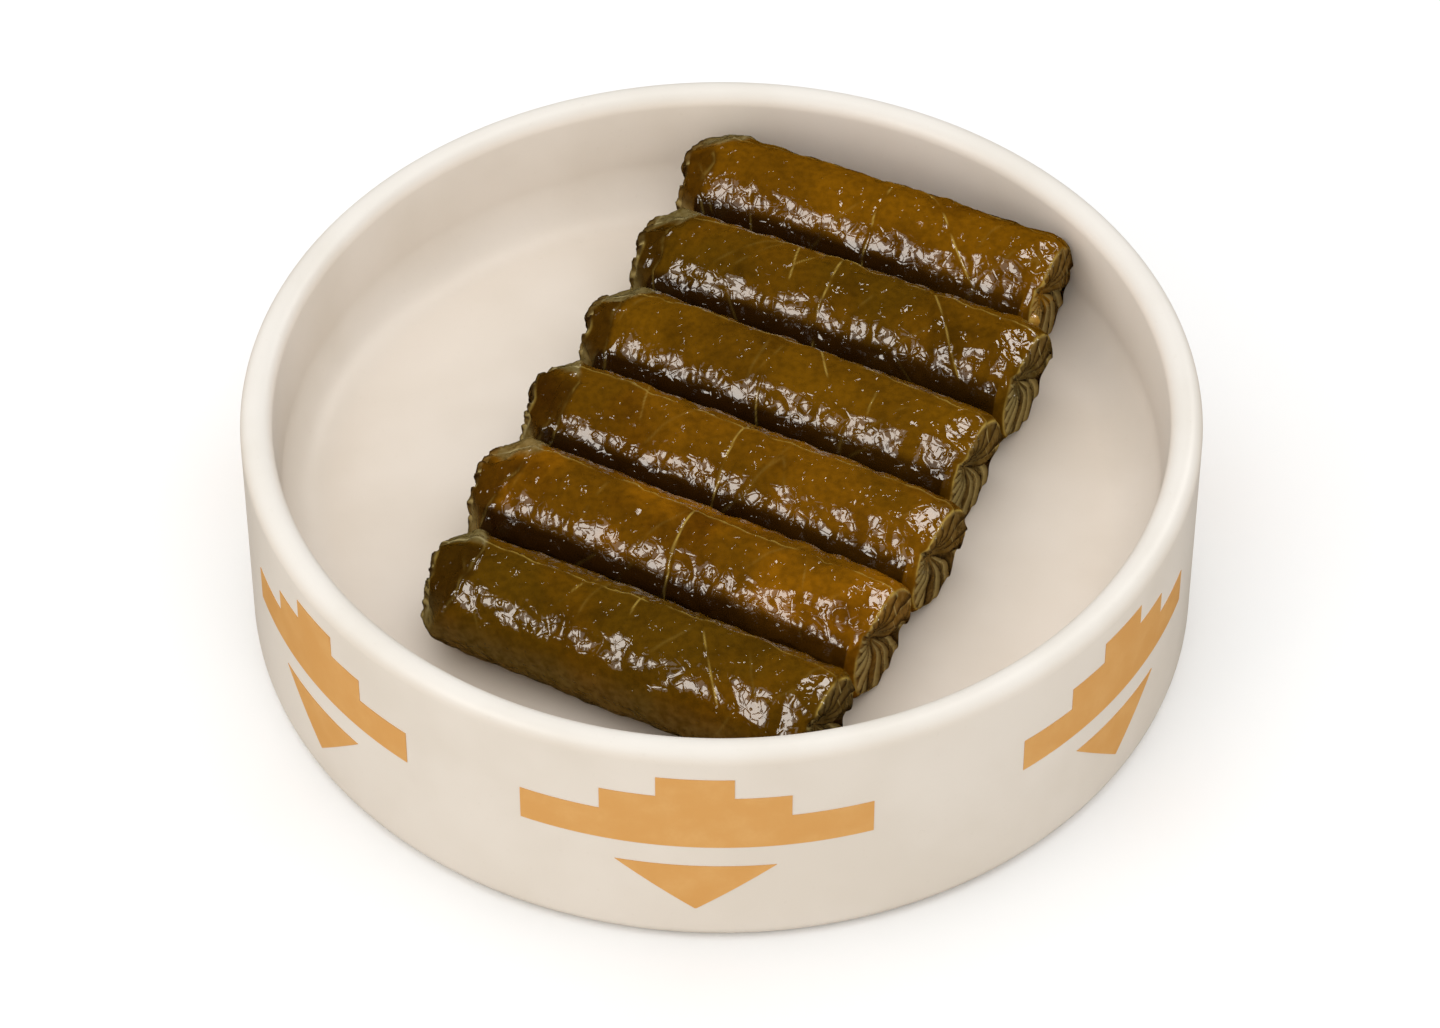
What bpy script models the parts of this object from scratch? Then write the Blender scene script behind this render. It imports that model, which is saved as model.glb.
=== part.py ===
"""A round ceramic bowl with six stuffed vine leaf rolls lying side by side on its raised floor.

The bowl stands on Z = 0 with its axis on Z. The row of rolls runs from the front (-Y) to the
back (+Y), and each roll lies with its left end further back than its right end.
"""

import math
from collections import namedtuple

import bmesh
import bpy
import numpy as np
from mathutils import Matrix, Vector

MM = 0.001

# Bowl: one glazed ceramic piece with an upright wall, a round lip and a raised flat floor
BOWL_RADIUS = 83.0 * MM
BOWL_HEIGHT = 46.6 * MM
WALL_THICKNESS = 5.6 * MM
WALL_DRAFT = 0.8 * MM
FLOOR_HEIGHT = 23.4 * MM
FLOOR_THICKNESS = 6.5 * MM
COVE_RADIUS = 9.0 * MM
BASE_CORNER = 3.3 * MM
FOOT_WIDTH = 7.0 * MM
FOOT_ROUND = 1.2 * MM
RECESS_ROUND = 4.0 * MM
BOWL_SIDES = 72

# Row of rolls: the middle of the front roll, and the step from each roll to the next
ROW_START = Vector((-15.6, -47.9, 0.0)) * MM
ROW_STEP = Vector((8.52, 19.98, 0.0)) * MM
GAP = 0.3 * MM
BED = 0.4 * MM

# Each roll: how far it is slid to the right, its turn in degrees, its own size, the angle of the
# leaf's outer edge from the far side in degrees, and the midrib's share of the length
Roll = namedtuple("Roll", "slide turn length width height seam vein")
ROLLS = (
    Roll(0.0 * MM, 27.5, 75.5 * MM, 20.4 * MM, 20.6 * MM, 68.0, 0.69),
    Roll(0.0 * MM, 28.0, 78.5 * MM, 21.6 * MM, 21.6 * MM, 70.0, 0.52),
    Roll(1.0 * MM, 27.9, 80.0 * MM, 20.8 * MM, 21.0 * MM, 66.0, 0.50),
    Roll(0.6 * MM, 27.3, 76.5 * MM, 20.8 * MM, 21.0 * MM, 64.0, 0.48),
    Roll(1.4 * MM, 25.6, 76.5 * MM, 21.2 * MM, 21.8 * MM, 66.0, 0.50),
    Roll(-0.6 * MM, 25.4, 72.5 * MM, 21.6 * MM, 22.2 * MM, 62.0, 0.54),
)

# Folded ends: a flat face with a round edge, tapering in from the body. The leaf is folded over
# it in three flaps that bulge between creases, which are given by their angles from the far
# side. The first two creases bound the flap that was folded last and lies on the others. The
# creases meet at the knot, given as shares of the face's radius to the far side and up.
End = namedtuple("End", "edge dome taper taper_length knot creases crease_width depth notch")
LEFT_END = End(
    4.6 * MM, 1.6 * MM, 0.07, 17.0 * MM, (0.0, 0.0), (-42.0, 118.0, 232.0), 20.0, 1.0 * MM, 0.5 * MM
)
RIGHT_END = End(
    2.2 * MM, 0.6 * MM, 0.03, 10.0 * MM, (-0.42, 0.48), (-37.0, 130.0, 262.0), 15.0, 1.3 * MM, 0.5 * MM
)
FLAP_STEP = 0.8 * MM
KNOT_SIZE = 0.55
ROUND_SIDES = 36
BODY_RINGS = 8

# Leaf surface: its outer edge along the back of the roll, its midrib, and its unevenness
SEAM_STEP = 0.5 * MM
SEAM_SPREAD = 60.0
SEAM_WAVE = 4.0
VEIN_HEIGHT = 0.3 * MM
VEIN_WIDTH = 0.8 * MM
LUMP = 0.018
LEFT_FACET = 0.03

# Filling: one swollen grain that pokes out of the back roll's right end
GRAIN_SIZE = (1.9 * MM, 1.3 * MM, 1.6 * MM)
GRAIN_ANGLE = 168.0
GRAIN_REACH = 0.78

RANDOM_SEED = 11

CERAMIC = ((0.80, 0.74, 0.66), 0.32)
LEAF_COLOURS = (
    (0.075, 0.055, 0.008),
    (0.110, 0.060, 0.006),
    (0.085, 0.052, 0.007),
    (0.070, 0.048, 0.006),
    (0.075, 0.052, 0.006),
    (0.110, 0.068, 0.006),
)
LEAF_ROUGHNESS = 0.25


def clear_scene():
    """Remove whatever the file opened with."""
    for leftover in list(bpy.data.objects):
        bpy.data.objects.remove(leftover, do_unlink=True)


def material(name, colour, roughness):
    """A plain Principled material."""
    made = bpy.data.materials.new(name)
    made.use_nodes = True
    shader = made.node_tree.nodes["Principled BSDF"]
    shader.inputs["Base Color"].default_value = (*colour, 1.0)
    shader.inputs["Roughness"].default_value = roughness
    shader.inputs["Metallic"].default_value = 0.0
    return made


def add_object(name, mesh, finish):
    """Link a mesh as a smooth-shaded object with its material."""
    mesh.materials.append(finish)
    mesh.shade_smooth()
    mesh.set_sharp_from_angle(angle=math.radians(40.0))
    made = bpy.data.objects.new(name, mesh)
    bpy.context.scene.collection.objects.link(made)
    return made


def arc(centre_r, centre_z, radius, start, end, steps):
    """Points (radius, height) on a circle arc, angles in degrees from the outward direction."""
    points = []
    for step in range(steps + 1):
        angle = math.radians(start + (end - start) * step / steps)
        points.append((centre_r + radius * math.cos(angle), centre_z + radius * math.sin(angle)))
    return points


def inner_profile():
    """The bowl's inside as (radius, height), from the middle of the floor up to the lip."""
    lip = WALL_THICKNESS / 2
    lip_inner = BOWL_RADIUS - WALL_THICKNESS
    cove_outer = lip_inner - WALL_DRAFT
    cove_r = cove_outer - COVE_RADIUS
    cove_z = FLOOR_HEIGHT + COVE_RADIUS
    points = [(0.0, FLOOR_HEIGHT), (cove_r / 2, FLOOR_HEIGHT)]
    points += arc(cove_r, cove_z, COVE_RADIUS, -90.0, 0.0, 5)
    points.append((lip_inner, BOWL_HEIGHT - lip))
    return points


def bowl_profile():
    """The bowl's whole section, down from the floor's middle to the middle of the underside."""
    lip = WALL_THICKNESS / 2
    foot_inner = BOWL_RADIUS - FOOT_WIDTH
    recess_top = FLOOR_HEIGHT - FLOOR_THICKNESS
    points = inner_profile()
    points += arc(BOWL_RADIUS - lip, BOWL_HEIGHT - lip, lip, 180.0, 0.0, 6)[1:]
    points += arc(BOWL_RADIUS - BASE_CORNER, BASE_CORNER, BASE_CORNER, 0.0, -90.0, 3)
    points += arc(foot_inner + FOOT_ROUND, FOOT_ROUND, FOOT_ROUND, -90.0, -180.0, 2)
    points += arc(foot_inner - RECESS_ROUND, recess_top - RECESS_ROUND, RECESS_ROUND, 0.0, 90.0, 3)
    points.append((0.0, recess_top))
    return points


def build_bowl():
    """Turn the section once round Z."""
    form = bmesh.new()
    ring = [form.verts.new((radius, 0.0, height)) for radius, height in bowl_profile()]
    edges = [form.edges.new(pair) for pair in zip(ring, ring[1:])]
    bmesh.ops.spin(
        form,
        geom=ring + edges,
        cent=(0.0, 0.0, 0.0),
        axis=(0.0, 0.0, 1.0),
        angle=math.tau,
        steps=BOWL_SIDES,
        use_merge=True,
    )
    bmesh.ops.remove_doubles(form, verts=form.verts, dist=0.01 * MM)
    bmesh.ops.recalc_face_normals(form, faces=form.faces)
    mesh = bpy.data.meshes.new("bowl")
    form.to_mesh(mesh)
    form.free()
    return add_object("bowl", mesh, material("bowl", *CERAMIC))


def end_rings(roll, end):
    """The rings of an end from its pole outwards, as (distance from the tip, radius share)."""
    flat = 1.0 - end.edge / (roll.width / 2)
    rings = [(end.dome * share**2, flat * share) for share in (0.0, 0.28, 0.55, 0.8)]
    for turn in (0.0, 45.0, 90.0):
        angle = math.radians(turn)
        inward = end.dome + end.edge * (1.0 - math.cos(angle))
        rings.append((inward, flat + (1.0 - flat) * math.sin(angle)))
    return rings


def stations(roll):
    """The rings of a roll from its left pole to its right pole, as (place, radius share)."""
    half = roll.length / 2
    left = [(-half + inward, share) for inward, share in end_rings(roll, LEFT_END)]
    right = [(half - inward, share) for inward, share in end_rings(roll, RIGHT_END)]
    vein_at = -half + roll.vein * roll.length
    places = list(np.linspace(left[-1][0], right[-1][0], BODY_RINGS + 2)[1:-1])
    places.remove(min(places, key=lambda place: abs(place - vein_at)))
    places += [vein_at - VEIN_WIDTH, vein_at, vein_at + VEIN_WIDTH]
    body = [(place, 1.0) for place in sorted(places)]
    return np.array(left + body + right[::-1])


def angle_between(angles, middle):
    """Signed turn in degrees from a middle angle, between -180 and 180."""
    return (angles - middle + 180.0) % 360.0 - 180.0


def smooth_step(value):
    """0 below 0, 1 above 1, and a smooth rise between them."""
    value = np.clip(value, 0.0, 1.0)
    return value * value * (3.0 - 2.0 * value)


def from_knot(on_face, angles, end):
    """Distance from an end's knot in shares of the face's radius, and direction in degrees."""
    level = np.radians(angles)
    beyond = on_face * np.cos(level) - end.knot[0]
    above = on_face * np.sin(level) - end.knot[1]
    return np.hypot(beyond, above), np.degrees(np.arctan2(above, beyond))


def fold_relief(angles, end):
    """Height of the folded flaps round an end, 0 in a crease and 1 in the middle of a flap."""
    relief = np.ones_like(angles)
    for crease in end.creases:
        across = angle_between(angles, crease) / end.crease_width
        relief *= 1.0 - np.exp(-(across**2))
    return relief


def last_flap(angles, end):
    """1 over the flap that lies on the other two, 0 beside it, with a steep edge between."""
    first, last = end.creases[:2]
    beyond = np.abs(angle_between(angles, (first + last) / 2)) - (last - first) / 2
    return 1.0 / (1.0 + np.exp(beyond / 4.0))


def shape_end(inward, share, angles, roll, end):
    """How far an end's face is pushed in, and what its folds and taper leave of the radius.

    The face sinks to the full depth at the knot and along each crease, the flaps rise out of
    it, and the last flap stands a step higher. At the rim each crease ends in a notch.
    """
    flat = 1.0 - end.edge / (roll.width / 2)
    on_face = np.clip(share / flat, 0.0, 1.0)
    knot_gap, spoke = from_knot(share / flat, angles, end)
    relief = fold_relief(spoke, end)
    risen = smooth_step(knot_gap / KNOT_SIZE)
    near = smooth_step(1.0 - (inward - end.dome) / (1.6 * end.edge))
    sunk = end.depth * (1.0 - relief * risen) * (1.0 - 0.5 * on_face**3)
    push = near * (sunk - FLAP_STEP * last_flap(spoke, end) * risen)
    tapered = 1.0 - end.taper * np.clip(1.0 - inward / end.taper_length, 0.0, 1.0) ** 1.5
    close = smooth_step(1.0 - inward / (3.0 * end.edge))
    notched = tapered - end.notch / (roll.width / 2) * (1.0 - relief) * close
    return push, notched


def roll_points(roll, random):
    """A roll's surface in its own frame: X along its axis, Y to the far side, Z up.

    A round section is swept along the axis. Its radius is scaled by the tapers and notches of
    both ends and by low lumps, and is raised at the leaf's edge and along the midrib.
    """
    rings = stations(roll)
    angles = np.arange(ROUND_SIDES) * 360.0 / ROUND_SIDES
    along = rings[:, :1] + 0.0 * angles
    share = rings[:, 1:] + 0.0 * angles
    turn = angles + 0.0 * along
    half = roll.length / 2

    left_push, left_scale = shape_end(along + half, share, turn, roll, LEFT_END)
    right_push, right_scale = shape_end(half - along, share, turn, roll, RIGHT_END)
    scale = left_scale * right_scale
    for waves in (2, 3):
        start = random.uniform(0.0, 360.0)
        twist = random.uniform(-140.0, 140.0)
        lump = np.cos(np.radians(waves * turn + start + twist * along / half))
        scale = scale + LUMP / waves * lump
    near_left = np.clip(1.0 - (along + half) / LEFT_END.taper_length, 0.0, 1.0)
    facet_start = random.uniform(0.0, 360.0)
    scale = scale + LEFT_FACET * near_left * np.cos(np.radians(5 * turn + facet_start))

    wave = SEAM_WAVE * np.sin(3.0 * along / half + facet_start)
    past_seam = angle_between(turn, roll.seam + wave)
    on_top = np.exp(-np.clip(past_seam, 0.0, None) / SEAM_SPREAD) * (past_seam > 0.0)
    vein_at = -half + roll.vein * roll.length
    on_vein = np.clip(1.0 - np.abs(along - vein_at) / VEIN_WIDTH, 0.0, 1.0)
    raised = SEAM_STEP * on_top + VEIN_HEIGHT * on_vein

    level = np.radians(turn)
    radius_y = share * (roll.width / 2 * scale + raised)
    radius_z = share * (roll.height / 2 * scale + raised)
    along = along + left_push - right_push
    return np.stack([along, radius_y * np.cos(level), radius_z * np.sin(level)], axis=-1)


def placement(index):
    """Where a roll lies: its turn about Z and the place of its middle."""
    roll = ROLLS[index]
    turned = Matrix.Rotation(-math.radians(roll.turn), 4, "Z")
    middle = ROW_START + ROW_STEP * index + turned @ Vector((roll.slide, 0.0, 0.0))
    middle.z = FLOOR_HEIGHT + GAP + roll.height / 2 - BED
    return Matrix.Translation(middle) @ turned


def press(points, index):
    """Flatten a roll where it meets the floor, the rolls beside it and the bowl's wall."""
    points[..., 2] = np.maximum(points[..., 2], FLOOR_HEIGHT + GAP)
    here = placement(index)
    for other in (index - 1, index + 1):
        if not 0 <= other < len(ROLLS):
            continue
        there = placement(other)
        middle = (here.translation + there.translation) / 2
        line = (here.to_3x3() @ Vector((1, 0, 0)) + there.to_3x3() @ Vector((1, 0, 0))).normalized()
        away = np.array(line.cross(Vector((0.0, 0.0, 1.0))))
        away *= np.sign(np.array(here.translation - middle) @ away)
        inside = (points - np.array(middle)) @ away - GAP / 2
        points -= np.minimum(inside, 0.0)[..., None] * away
    inner = np.array(inner_profile())
    wall = np.interp(points[..., 2], inner[2:, 1], inner[2:, 0]) - 2 * GAP
    reach = np.hypot(points[..., 0], points[..., 1])
    points[..., :2] *= np.minimum(wall / np.maximum(reach, MM), 1.0)[..., None]
    return points


def grid_mesh(name, points):
    """A closed mesh from rings of points, whose first and last rings are one point each."""
    rings, sides = points.shape[:2]
    verts = [points[0, 0]] + list(points[1:-1].reshape(-1, 3)) + [points[-1, 0]]
    last = len(verts) - 1
    faces = []
    for side in range(sides):
        after = (side + 1) % sides
        faces.append((0, 1 + after, 1 + side))
        for ring in range(rings - 3):
            low = 1 + ring * sides
            high = low + sides
            faces.append((low + side, low + after, high + after, high + side))
        low = 1 + (rings - 3) * sides
        faces.append((low + side, low + after, last))
    mesh = bpy.data.meshes.new(name)
    mesh.from_pydata([tuple(map(float, vert)) for vert in verts], [], faces)
    return mesh


def build_roll(index):
    """One roll, made in its own frame, pressed in place and kept on its own matrix."""
    name = f"roll_{index + 1}"
    random = np.random.default_rng(RANDOM_SEED + index)
    here = np.array(placement(index))
    back = np.linalg.inv(here)
    points = roll_points(ROLLS[index], random) @ here[:3, :3].T + here[:3, 3]
    points = press(points, index) @ back[:3, :3].T + back[:3, 3]
    mesh = grid_mesh(name, points)
    form = bmesh.new()
    form.from_mesh(mesh)
    bmesh.ops.recalc_face_normals(form, faces=form.faces)
    form.to_mesh(mesh)
    form.free()
    finish = material(name, LEAF_COLOURS[index], LEAF_ROUGHNESS)
    made = add_object(name, mesh, finish)
    made.matrix_world = placement(index)
    return made


def fuse_grain(roll_object, roll):
    """Join the grain of filling to the roll's right end, so that both are one solid."""
    reach = GRAIN_REACH * roll.width / 2
    angle = math.radians(GRAIN_ANGLE)
    place = Vector((roll.length / 2 - RIGHT_END.edge / 2, reach * math.cos(angle), reach * math.sin(angle)))
    form = bmesh.new()
    bmesh.ops.create_icosphere(form, subdivisions=1, radius=1.0)
    bmesh.ops.scale(form, verts=form.verts, vec=GRAIN_SIZE)
    bmesh.ops.translate(form, verts=form.verts, vec=place)
    mesh = bpy.data.meshes.new("grain")
    form.to_mesh(mesh)
    form.free()
    grain = bpy.data.objects.new("grain", mesh)
    bpy.context.scene.collection.objects.link(grain)
    grain.matrix_world = roll_object.matrix_world.copy()
    union = roll_object.modifiers.new("grain", "BOOLEAN")
    union.operation = "UNION"
    union.solver = "EXACT"
    union.object = grain
    bpy.context.view_layer.update()
    graph = bpy.context.evaluated_depsgraph_get()
    joined = bpy.data.meshes.new_from_object(roll_object.evaluated_get(graph))
    roll_object.modifiers.clear()
    roll_object.data = joined
    bpy.data.objects.remove(grain, do_unlink=True)


clear_scene()
build_bowl()
made_rolls = [build_roll(index) for index in range(len(ROLLS))]
fuse_grain(made_rolls[-1], ROLLS[-1])
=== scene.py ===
from collections import namedtuple

import bpy
import numpy as np
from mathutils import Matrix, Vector


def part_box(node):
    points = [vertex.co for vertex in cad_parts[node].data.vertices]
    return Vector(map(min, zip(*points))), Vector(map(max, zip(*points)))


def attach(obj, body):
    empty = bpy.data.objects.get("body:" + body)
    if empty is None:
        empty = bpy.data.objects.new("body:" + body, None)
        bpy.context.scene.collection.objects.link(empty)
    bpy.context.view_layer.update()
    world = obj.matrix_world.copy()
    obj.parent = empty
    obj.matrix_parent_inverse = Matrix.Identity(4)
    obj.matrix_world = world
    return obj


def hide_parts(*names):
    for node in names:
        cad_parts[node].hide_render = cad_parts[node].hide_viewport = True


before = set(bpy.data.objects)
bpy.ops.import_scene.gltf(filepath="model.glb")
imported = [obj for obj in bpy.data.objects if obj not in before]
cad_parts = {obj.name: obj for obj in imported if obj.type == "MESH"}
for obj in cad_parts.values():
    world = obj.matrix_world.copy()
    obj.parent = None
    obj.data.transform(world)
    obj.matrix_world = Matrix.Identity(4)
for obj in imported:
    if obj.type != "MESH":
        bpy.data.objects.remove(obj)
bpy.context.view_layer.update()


# The bowl is one piece of stoneware, turned with an upright wall and a round lip. Its floor lies
# high over the table and is hollow below, inside a foot ring. An off-white satin glaze covers it,
# palest on the inner wall and darker outside, which is painted light and shade on one glaze.
MM = 0.001
BOWL_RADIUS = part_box("bowl")[1].x
BOWL_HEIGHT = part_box("bowl")[1].z
WALL_THICKNESS = 5.6 * MM
WALL_DRAFT = 0.8 * MM
FLOOR_HEIGHT = 23.4 * MM
FLOOR_THICKNESS = 6.5 * MM
COVE_RADIUS = 9.0 * MM
BASE_CORNER = 3.3 * MM
FOOT_WIDTH = 7.0 * MM
FOOT_ROUND = 1.2 * MM
RECESS_ROUND = 4.0 * MM
BOWL_SIDES = 300
# The outside tone is painted shade and the inner wall tone is painted light, on one and the same
# glaze
GLAZE_OUTSIDE_PAINTED_SHADE = (0.77, 0.685, 0.587)
GLAZE_INSIDE = (0.855, 0.762, 0.66)
GLAZE_WALL_PAINTED_LIGHT = (0.97, 0.865, 0.75)
GLAZE_THIN = (0.84, 0.79, 0.72)
GLAZE_CLOUD = (0.94, 0.93, 0.91)
THIN_BAND = 2.2 * MM
WALL_BAND = 10 * MM
CLOUD_SIZE = 28 * MM
SPECK_SIZE = 0.9 * MM
GLAZE_WAVE, GLAZE_WAVE_DEPTH = 7 * MM, 0.10 * MM
PEEL_SIZE, PEEL_DEPTH = 1.2 * MM, 0.008 * MM


def arc(centre, radius, start, end, steps):
    """Points on a circle arc: centre + radius * (cos, sin), from start to end degrees."""
    angles = np.radians(np.linspace(start, end, steps + 1))
    return np.array(centre) + radius * np.stack([np.cos(angles), np.sin(angles)], axis=1)


def bowl_profile():
    """The section as rows of (radius, height), from the floor's middle round to the underside."""
    lip = WALL_THICKNESS / 2
    lip_inner = BOWL_RADIUS - WALL_THICKNESS
    cove_middle = lip_inner - WALL_DRAFT - COVE_RADIUS
    foot_inner = BOWL_RADIUS - FOOT_WIDTH
    recess_top = FLOOR_HEIGHT - FLOOR_THICKNESS
    floor = np.stack([np.linspace(0.0, 0.96, 25) * cove_middle, np.full(25, FLOOR_HEIGHT)], axis=1)
    wall_top = np.array([lip_inner, BOWL_HEIGHT - lip])
    cove = arc((cove_middle, FLOOR_HEIGHT + COVE_RADIUS), COVE_RADIUS, -90.0, 0.0, 18)
    inner_wall = cove[-1] + np.linspace(0.1, 0.9, 9)[:, None] * (wall_top - cove[-1])
    top = arc((BOWL_RADIUS - lip, BOWL_HEIGHT - lip), lip, 180.0, 0.0, 24)
    heights = np.linspace(BOWL_HEIGHT - lip, BASE_CORNER, 14)[1:-1]
    outer_wall = np.stack([np.full(12, BOWL_RADIUS), heights], axis=1)
    base = arc((BOWL_RADIUS - BASE_CORNER, BASE_CORNER), BASE_CORNER, 0.0, -90.0, 10)
    foot = arc((foot_inner + FOOT_ROUND, FOOT_ROUND), FOOT_ROUND, -90.0, -180.0, 6)
    recess = arc((foot_inner - RECESS_ROUND, recess_top - RECESS_ROUND), RECESS_ROUND, 0.0, 90.0, 8)
    under = np.stack([np.linspace(0.9, 0.0, 10) * recess[-1, 0], np.full(10, recess_top)], axis=1)
    return np.concatenate([floor, cove, inner_wall, top, outer_wall, base, foot, recess, under])


def closed_skin(name, rings):
    """A closed smooth mesh through rings of points, whose first and last rings are one point.

    Point j of ring i joins point j + 1 of its own ring and point j of ring i + 1. The first and
    last rings close as fans.
    """
    count, sides = rings.shape[:2]
    verts = np.concatenate([rings[0, :1], rings[1:-1].reshape(-1, 3), rings[-1, :1]])
    here = np.arange(sides)
    after = (here + 1) % sides
    low = 1 + sides * np.arange(count - 3)[:, None]
    quads = np.stack([low + here, low + after, low + sides + after, low + sides + here], axis=-1)
    last_ring = 1 + sides * (count - 3)
    first_fan = np.stack([0 * here, 1 + after, 1 + here], axis=1)
    last_fan = np.stack([last_ring + here, last_ring + after, 0 * here + len(verts) - 1], axis=1)
    mesh = bpy.data.meshes.new(name)
    faces = quads.reshape(-1, 4).tolist() + first_fan.tolist() + last_fan.tolist()
    mesh.from_pydata(verts.tolist(), [], faces)
    mesh.shade_smooth()
    made = bpy.data.objects.new(name, mesh)
    bpy.context.scene.collection.objects.link(made)
    return made


def new_material(name):
    """A material with its node tree, its Principled shader and its Object coordinates."""
    made = bpy.data.materials.new(name)
    made.use_nodes = True
    tree = made.node_tree
    place = tree.nodes.new("ShaderNodeTexCoord").outputs["Object"]
    return made, tree, tree.nodes["Principled BSDF"], place


def noise(tree, place, size, detail=2.0):
    """Cloudy noise from 0 to 1 whose lumps are about as wide as size."""
    made = tree.nodes.new("ShaderNodeTexNoise")
    tree.links.new(place, made.inputs["Vector"])
    made.inputs["Scale"].default_value = 1.0 / size
    made.inputs["Detail"].default_value = detail
    return made.outputs["Fac"]


def spread(tree, value, low, high, bottom=0.0, top=1.0):
    """Stretch a value so that low becomes bottom and high becomes top, smoothly and no further."""
    made = tree.nodes.new("ShaderNodeMapRange")
    made.interpolation_type = "SMOOTHSTEP"
    tree.links.new(value, made.inputs["Value"])
    made.inputs["From Min"].default_value = low
    made.inputs["From Max"].default_value = high
    made.inputs["To Min"].default_value = bottom
    made.inputs["To Max"].default_value = top
    return made.outputs["Result"]


def mixed(tree, share, first, second, blend="MIX"):
    """Blend two colours, each a plain one or a socket, by a share from 0 to 1."""
    made = tree.nodes.new("ShaderNodeMix")
    made.data_type = "RGBA"
    made.blend_type = blend
    for socket, source in ((0, share), (6, first), (7, second)):
        if isinstance(source, bpy.types.NodeSocket):
            tree.links.new(source, made.inputs[socket])
        elif isinstance(source, tuple):
            made.inputs[socket].default_value = (*source, 1.0)
        else:
            made.inputs[socket].default_value = source
    return made.outputs[2]


def bumped(tree, height, depth, under=None):
    """A normal whose relief is height (0 to 1) times depth, over another normal if given."""
    made = tree.nodes.new("ShaderNodeBump")
    made.inputs["Distance"].default_value = depth
    tree.links.new(height, made.inputs["Height"])
    if under:
        tree.links.new(under, made.inputs["Normal"])
    return made.outputs["Normal"]


def glaze_material():
    """Satin off-white glaze, paler inside, thin on the lip, with clouds and a faint orange peel;
    painted light makes the inner wall palest and painted shade the outside darker.
    """
    made, tree, shader, place = new_material("glaze")
    height = tree.nodes.new("ShaderNodeSeparateXYZ")
    tree.links.new(place, height.inputs[0])
    cloud = spread(tree, noise(tree, place, CLOUD_SIZE, 3.0), 0.35, 0.7)
    thin = spread(tree, height.outputs["Z"], BOWL_HEIGHT - THIN_BAND, BOWL_HEIGHT)
    speck = spread(tree, noise(tree, place, SPECK_SIZE, 1.0), 0.68, 0.80, 0.0, 0.35)
    side = tree.nodes.new("ShaderNodeAttribute")
    side.attribute_name = "inside"
    # Painted light and shade: the inner wall paler than the floor, the outside darker
    high = spread(tree, height.outputs["Z"], FLOOR_HEIGHT, FLOOR_HEIGHT + WALL_BAND)
    within = mixed(tree, high, GLAZE_INSIDE, GLAZE_WALL_PAINTED_LIGHT)
    body = mixed(tree, side.outputs["Fac"], GLAZE_OUTSIDE_PAINTED_SHADE, within)
    body = mixed(tree, thin, body, GLAZE_THIN)
    body = mixed(tree, cloud, body, GLAZE_CLOUD, "MULTIPLY")
    body = mixed(tree, speck, body, GLAZE_CLOUD, "MULTIPLY")
    tree.links.new(body, shader.inputs["Base Color"])
    shader.inputs["Roughness"].default_value = 0.42
    shader.inputs["Specular IOR Level"].default_value = 0.35
    skin = bumped(tree, noise(tree, place, GLAZE_WAVE, 2.0), GLAZE_WAVE_DEPTH)
    skin = bumped(tree, noise(tree, place, PEEL_SIZE, 1.0), PEEL_DEPTH, skin)
    tree.links.new(skin, shader.inputs["Normal"])
    return made


profile = bowl_profile()
spin = np.linspace(0.0, 2.0 * np.pi, BOWL_SIDES, endpoint=False)
bowl_rings = np.stack(
    [
        profile[:, :1] * np.cos(spin),
        profile[:, :1] * np.sin(spin),
        profile[:, 1:] + 0.0 * spin,
    ],
    axis=-1,
)
bowl = closed_skin("glazed_bowl", bowl_rings)
lip_ring = np.argmax(profile[:, 1])
inside = np.repeat(np.arange(len(profile) - 2) < lip_ring, BOWL_SIDES)
inside_mark = bowl.data.attributes.new("inside", "FLOAT", "POINT")
inside_mark.data.foreach_set("value", np.concatenate([[1.0], inside, [0.0]]))
bowl.data.materials.append(glaze_material())
bowl.visible_glossy = False
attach(bowl, "root")
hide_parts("bowl")


# The ornament round the wall is a stepped motif over an inverted triangle, seven times round,
# in ochre slip under the glaze. Each motif is a thin curved inlay that stands a hair proud.
ORNAMENT_PROUD = 0.10 * MM
ORNAMENT_DEPTH = 0.45 * MM
OCHRE = (0.685, 0.336, 0.087)
OCHRE_WORN = (0.72, 0.38, 0.115)
BAR_HEIGHTS = (24.1 * MM, 31.3 * MM, 36.2 * MM, 40.8 * MM)
TRIANGLE_TOP = 19.3 * MM
TRIANGLE_TIP = 8.4 * MM
TIP_WIDTH = 0.01
TRIANGLE_COLUMNS, TRIANGLE_ROWS = 17, 9
Motif = namedtuple("Motif", "middle bar step crown triangle")
MOTIFS = (
    Motif(-3.0, 20.65, 11.05, 4.5, 9.35),
    Motif(-55.5, 16.2, 8.7, 3.6, 7.8),
    Motif(54.3, 16.9, 9.4, 3.75, 8.1),
) + tuple(Motif(104.3 + 50.1 * step, 16.5, 9.0, 3.7, 8.0) for step in range(4))


def on_wall(azimuth, height):
    """Points on the wall's outside: azimuth in degrees from the front (-Y) towards +X."""
    turn = np.radians(azimuth)
    reach = BOWL_RADIUS + ORNAMENT_PROUD
    return np.stack([reach * np.sin(turn), -reach * np.cos(turn), height + 0.0 * turn], axis=-1)


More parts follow.
